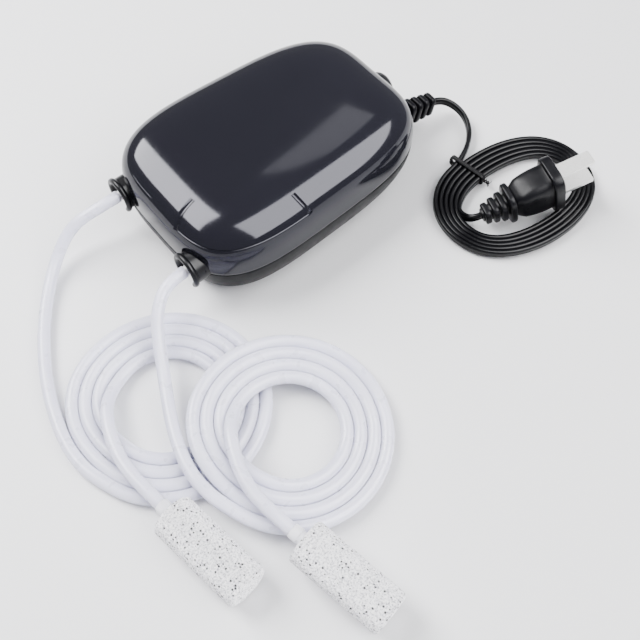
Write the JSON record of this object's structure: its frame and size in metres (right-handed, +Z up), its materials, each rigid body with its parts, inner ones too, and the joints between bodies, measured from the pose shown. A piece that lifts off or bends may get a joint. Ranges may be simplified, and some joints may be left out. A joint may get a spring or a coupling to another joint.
{
  "type": "aquarium air pump",
  "caption": "Diaphragm air pump for an aquarium: rounded casing, flow knob, coiled airlines ending in air stones, and a coiled mains lead with a blade plug",
  "frame": {"origin": "on the table, under the middle of the pump between outlet tips and knob face", "axes": "+X towards the cord end, +Y across the pump, +Z up"},
  "size_m": [0.2507, 0.2129, 0.0407],
  "materials": {
    "casing_plastic": "semi-matte slate-black moulded ABS",
    "base_plastic": "matte black moulded ABS",
    "foot_rubber": "matte black rubber",
    "steel_screw": "zinc-plated steel",
    "filter_foam": "open-cell grey foam",
    "collar_plastic": "satin black moulded plastic",
    "nozzle_plastic": "off-white moulded plastic",
    "frame_plastic": "natural moulded nylon",
    "lamination_steel": "stacked silicon-steel laminations",
    "bobbin_plastic": "natural moulded bobbin",
    "copper_winding": "enamelled copper wire",
    "magnet_ferrite": "sintered ferrite",
    "diaphragm_rubber": "moulded black rubber",
    "head_plastic": "natural moulded acetal",
    "flap_rubber": "thin red-brown rubber",
    "board_laminate": "green circuit laminate",
    "pot_metal": "formed metal can",
    "knob_plastic": "soft-touch black plastic",
    "wire_insulation": "thin coloured insulation",
    "boot_rubber": "semi-matte black soft PVC",
    "cord_pvc": "glossy black flexible PVC",
    "tie_plastic": "thin black twist tie",
    "blade_metal": "nickel-plated brass",
    "silicone_tube": "milky translucent silicone",
    "stone_mineral": "porous bonded mineral, speckled grey-white",
    "nipple_plastic": "pale beige moulded plastic"
  },
  "bodies": {
    "housing": {"top_shell": "casing_plastic", "base_tray": "base_plastic", "rubber_feet": "foot_rubber", "casing_screws": "steel_screw", "filter_cover": "base_plastic", "filter_pad": "filter_foam", "outlet_collar_1": "collar_plastic", "outlet_collar_2": "collar_plastic", "outlet_nozzle_1": "nozzle_plastic", "outlet_nozzle_2": "nozzle_plastic", "outlet_hoses": "silicone_tube", "pump_frame": "frame_plastic", "frame_isolators": "foot_rubber", "pivot_pins": "steel_screw", "diaphragm_1": "diaphragm_rubber", "diaphragm_2": "diaphragm_rubber", "clamp_rings": "head_plastic", "head_body_1": "head_plastic", "head_body_2": "head_plastic", "valve_gaskets": "diaphragm_rubber", "valve_cover_1": "head_plastic", "valve_cover_2": "head_plastic", "head_screws": "steel_screw", "e_core": "lamination_steel", "core_screws": "steel_screw", "coil_bobbin": "bobbin_plastic", "coil_winding": "copper_winding", "circuit_board": "board_laminate", "flow_dial": "pot_metal", "internal_wires": "wire_insulation", "cord_strain_relief": "boot_rubber", "power_cord_lead": "cord_pvc", "power_cord_coil": "cord_pvc", "power_cord_end": "cord_pvc", "cord_tie": "tie_plastic", "plug_body": "boot_rubber", "plug_blades": "blade_metal", "airline_lead_1": "silicone_tube", "airline_lead_2": "silicone_tube", "airline_coil_1": "silicone_tube", "airline_coil_2": "silicone_tube", "airline_tail_1": "silicone_tube", "airline_tail_2": "silicone_tube", "air_stone_1": "stone_mineral", "air_stone_2": "stone_mineral", "stone_nipples": "nipple_plastic"},
    "rocker_1": {"rocker_arm_1": "frame_plastic", "arm_magnet_1": "magnet_ferrite", "diaphragm_washer_1": "steel_screw", "diaphragm_screw_1": "steel_screw"},
    "rocker_2": {"rocker_arm_2": "frame_plastic", "arm_magnet_2": "magnet_ferrite", "diaphragm_washer_2": "steel_screw", "diaphragm_screw_2": "steel_screw"},
    "knob": {"control_knob": "knob_plastic", "dial_shaft": "pot_metal"},
    "exhaust_valve_1": {"exhaust_flap_1": "flap_rubber"},
    "exhaust_valve_2": {"exhaust_flap_2": "flap_rubber"},
    "intake_valve_1": {"intake_flap_1": "flap_rubber"},
    "intake_valve_2": {"intake_flap_2": "flap_rubber"}
  },
  "joints": [
    {"name": "rocker_1_swing", "type": "hinge", "parent": "housing", "child": "rocker_1", "pos_m": [-0.0385, 0.009, 0.021], "axis": [0, 0, 1], "range_deg": [-2, 2], "stiffness_Nm_per_rad": 0.05, "deforming": ["diaphragm_1"]},
    {"name": "rocker_2_swing", "type": "hinge", "parent": "housing", "child": "rocker_2", "pos_m": [-0.0385, -0.009, 0.021], "axis": [0, 0, 1], "range_deg": [-2, 2], "stiffness_Nm_per_rad": 0.05, "deforming": ["diaphragm_2"]},
    {"name": "flow_knob_turn", "type": "hinge", "parent": "housing", "child": "knob", "pos_m": [0.06, 0.004, 0.0155], "axis": [1, 0, 0], "range_deg": [0, 270]},
    {"name": "exhaust_valve_1_lift", "type": "hinge", "parent": "housing", "child": "exhaust_valve_1", "pos_m": [-0.0238, 0.0233, 0.0179], "axis": [-1, 0, 0], "range_deg": [0, 12], "stiffness_Nm_per_rad": 0.00005},
    {"name": "exhaust_valve_2_lift", "type": "hinge", "parent": "housing", "child": "exhaust_valve_2", "pos_m": [-0.0238, -0.0233, 0.0179], "axis": [1, 0, 0], "range_deg": [0, 12], "stiffness_Nm_per_rad": 0.00005},
    {"name": "intake_valve_1_lift", "type": "hinge", "parent": "housing", "child": "intake_valve_1", "pos_m": [-0.0142, 0.0202, 0.0179], "axis": [1, 0, 0], "range_deg": [0, 12], "stiffness_Nm_per_rad": 0.00005},
    {"name": "intake_valve_2_lift", "type": "hinge", "parent": "housing", "child": "intake_valve_2", "pos_m": [-0.0142, -0.0202, 0.0179], "axis": [-1, 0, 0], "range_deg": [0, 12], "stiffness_Nm_per_rad": 0.00005}
  ],
  "couplings": [
    {"joint": "rocker_2_swing", "follows": "rocker_1_swing", "ratio": -1}
  ]
}
